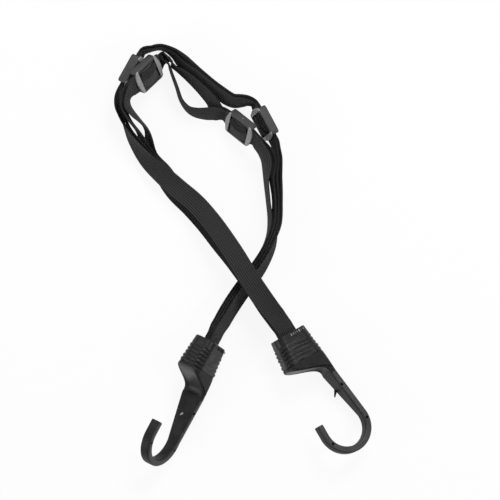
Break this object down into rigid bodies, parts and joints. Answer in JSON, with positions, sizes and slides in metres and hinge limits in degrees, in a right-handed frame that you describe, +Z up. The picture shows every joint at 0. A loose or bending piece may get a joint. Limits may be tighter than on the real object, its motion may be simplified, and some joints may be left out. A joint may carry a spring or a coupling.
{
  "type": "bungee cord",
  "caption": "Flat elastic bungee cord with sliding adjusters and a moulded J-hook in a ribbed sleeve at each end, laid down in a loop with its arms crossed.",
  "frame": {"origin": "on the table, under the middle of the laid-out cord's footprint", "axes": "+Z up off the table, +Y from the hooks towards the far loop with the sliders, +X to the right in the picture"},
  "size_m": [0.2056, 0.3364, 0.0436],
  "materials": {
    "webbing": "ribbed knit",
    "hook": "soft moulded sheen",
    "sleeve": "satin",
    "slider": "satin",
    "crimp": "plain sheet"
  },
  "bodies": {
    "cord": {"hook_left": "hook", "sleeve_left": "sleeve", "crimp_left": "crimp", "hook_right": "hook", "sleeve_right": "sleeve", "crimp_right": "crimp", "band_front_inner": "webbing", "band_front_outer": "webbing", "band_rear_inner": "webbing", "band_rear_outer": "webbing"},
    "slider_front_right": {"slider_front_right": "slider"},
    "slider_rear_right": {"slider_rear_right": "slider"},
    "slider_front_left": {"slider_front_left": "slider"},
    "slider_rear_left": {"slider_rear_left": "slider"}
  },
  "joints": [
    {"name": "slider_front_right_slide", "type": "slide", "parent": "cord", "child": "slider_front_right", "axis": [-0.7303, 0.5914, -0.342], "range_m": [-0.0025, 0.0025]},
    {"name": "slider_rear_right_slide", "type": "slide", "parent": "cord", "child": "slider_rear_right", "axis": [-0.4683, 0.8808, -0.0698], "range_m": [-0.0025, 0.0025]},
    {"name": "slider_front_left_slide", "type": "slide", "parent": "cord", "child": "slider_front_left", "axis": [-0.6355, -0.6355, 0.4384], "range_m": [-0.0025, 0.0025]},
    {"name": "slider_rear_left_slide", "type": "slide", "parent": "cord", "child": "slider_rear_left", "axis": [-0.4836, -0.8725, 0.0698], "range_m": [-0.0025, 0.0025]}
  ]
}
